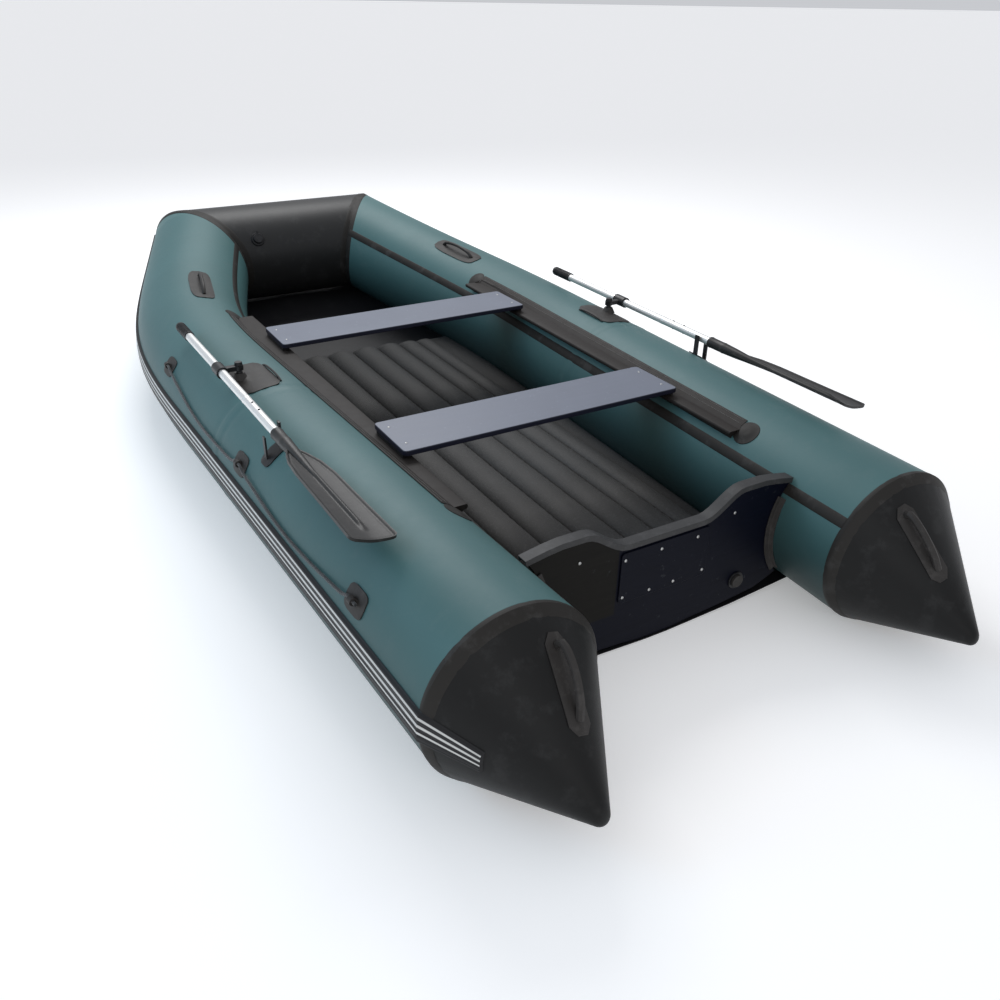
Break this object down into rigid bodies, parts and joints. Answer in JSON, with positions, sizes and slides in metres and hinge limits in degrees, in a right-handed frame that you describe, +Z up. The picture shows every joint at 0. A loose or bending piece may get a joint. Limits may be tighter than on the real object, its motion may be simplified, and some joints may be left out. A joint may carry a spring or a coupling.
{
  "type": "inflatable boat",
  "caption": "Inflatable boat with teal tubes, black bow tube and tail cones, ribbed inflatable floor, plywood transom, sliding benches and stowed oars.",
  "frame": {"origin": "on the ground under the middle of the boat, at the centre of its bounding box in plan", "axes": "+Y towards the bow, +X to starboard, +Z up"},
  "size_m": [1.697, 3.5569, 0.558],
  "materials": {
    "hull_teal": "satin coated fabric",
    "hull_black": "satin coated fabric",
    "cone_black": "satin",
    "floor_grey": "matt coated fabric",
    "rail_grey": "matt coated fabric",
    "inner_fabric": "matt",
    "strake_rubber": "ribbed, with three pale lines",
    "fitting_rubber": "moulded, matt",
    "bench_ply": "painted plywood",
    "transom_ply": "painted plywood",
    "trim_plastic": "matt",
    "black_plastic": "moulded",
    "oar_aluminium": "bare, satin",
    "rope_dark": "braided"
  },
  "bodies": {
    "root": {"tube_aft_port": "hull_teal", "tube_aft_starboard": "hull_teal", "tube_fore_port": "hull_teal", "tube_fore_starboard": "hull_teal", "bow_tube": "hull_black", "bottom_skin": "hull_black", "seam_tape_port": "hull_black", "seam_tape_starboard": "hull_black", "tail_cone_port": "cone_black", "tail_cone_starboard": "cone_black", "inner_baffle_port": "inner_fabric", "inner_baffle_starboard": "inner_fabric", "floor_webs": "inner_fabric", "rubbing_strake": "strake_rubber", "seat_rail_port": "rail_grey", "seat_rail_starboard": "rail_grey", "floor_deck": "floor_grey", "keel_strip": "fitting_rubber", "transom_holder_port": "fitting_rubber", "transom_holder_starboard": "fitting_rubber", "transom_board": "transom_ply", "transom_trim": "trim_plastic", "motor_plate": "black_plastic", "drain_body": "black_plastic", "rowlock_base_port": "fitting_rubber", "rowlock_base_starboard": "fitting_rubber", "oar_clip_port": "black_plastic", "oar_clip_starboard": "black_plastic", "carry_handle_port": "fitting_rubber", "carry_handle_starboard": "fitting_rubber", "cone_handle_port": "fitting_rubber", "cone_handle_starboard": "fitting_rubber", "line_eye_fore_port": "fitting_rubber", "line_eye_fore_starboard": "fitting_rubber", "line_eye_middle_port": "fitting_rubber", "line_eye_middle_starboard": "fitting_rubber", "line_eye_aft_port": "fitting_rubber", "line_eye_aft_starboard": "fitting_rubber", "grab_line_port": "rope_dark", "grab_line_starboard": "rope_dark", "valve_body": "black_plastic"},
    "bench_fore": {"bench_seat_fore": "bench_ply", "seat_slider_fore_port": "black_plastic", "seat_slider_fore_starboard": "black_plastic"},
    "bench_aft": {"bench_seat_aft": "bench_ply", "seat_slider_aft_port": "black_plastic", "seat_slider_aft_starboard": "black_plastic"},
    "rowlock_port": {"rowlock_pin_port": "black_plastic"},
    "rowlock_starboard": {"rowlock_pin_starboard": "black_plastic"},
    "oar_port": {"oar_shaft_port": "oar_aluminium", "oar_grip_port": "black_plastic", "oar_blade_port": "black_plastic", "oar_collar_port": "black_plastic"},
    "oar_starboard": {"oar_shaft_starboard": "oar_aluminium", "oar_grip_starboard": "black_plastic", "oar_blade_starboard": "black_plastic", "oar_collar_starboard": "black_plastic"},
    "valve_cap": {"valve_cap": "black_plastic"},
    "valve_plunger": {"valve_plunger": "trim_plastic"},
    "drain_plug": {"drain_plug": "fitting_rubber"}
  },
  "joints": [
    {"name": "bench_fore_slide", "type": "slide", "parent": "root", "child": "bench_fore", "axis": [0, 1, 0], "range_m": [-0.15, 0.08]},
    {"name": "bench_aft_slide", "type": "slide", "parent": "root", "child": "bench_aft", "axis": [0, 1, 0], "range_m": [-0.15, 0.15]},
    {"name": "oar_dip_port", "type": "hinge", "parent": "root", "child": "rowlock_port", "pos_m": [-0.675, -0.098, 0.429], "axis": [0, -1, 0], "range_deg": [-8, 18]},
    {"name": "oar_swing_port", "type": "hinge", "parent": "rowlock_port", "child": "oar_port", "pos_m": [-0.675, -0.098, 0.429], "axis": [0, 0, -1], "range_deg": [0, 120]},
    {"name": "oar_dip_starboard", "type": "hinge", "parent": "root", "child": "rowlock_starboard", "pos_m": [0.675, -0.098, 0.429], "axis": [0, 1, 0], "range_deg": [-8, 18]},
    {"name": "oar_swing_starboard", "type": "hinge", "parent": "rowlock_starboard", "child": "oar_starboard", "pos_m": [0.675, -0.098, 0.429], "axis": [0, 0, 1], "range_deg": [0, 120]},
    {"name": "valve_cap_flip", "type": "hinge", "parent": "root", "child": "valve_cap", "pos_m": [-0.165, 1.37686, 0.48028], "axis": [-1, 0, 0], "range_deg": [0, 150]},
    {"name": "valve_press", "type": "slide", "parent": "root", "child": "valve_plunger", "axis": [0, 0.8829, -0.4695], "range_m": [0, 0.004], "stiffness_N_per_m": 300},
    {"name": "drain_plug_pull", "type": "slide", "parent": "root", "child": "drain_plug", "axis": [0, -1, 0], "range_m": [0, 0.04]}
  ]
}
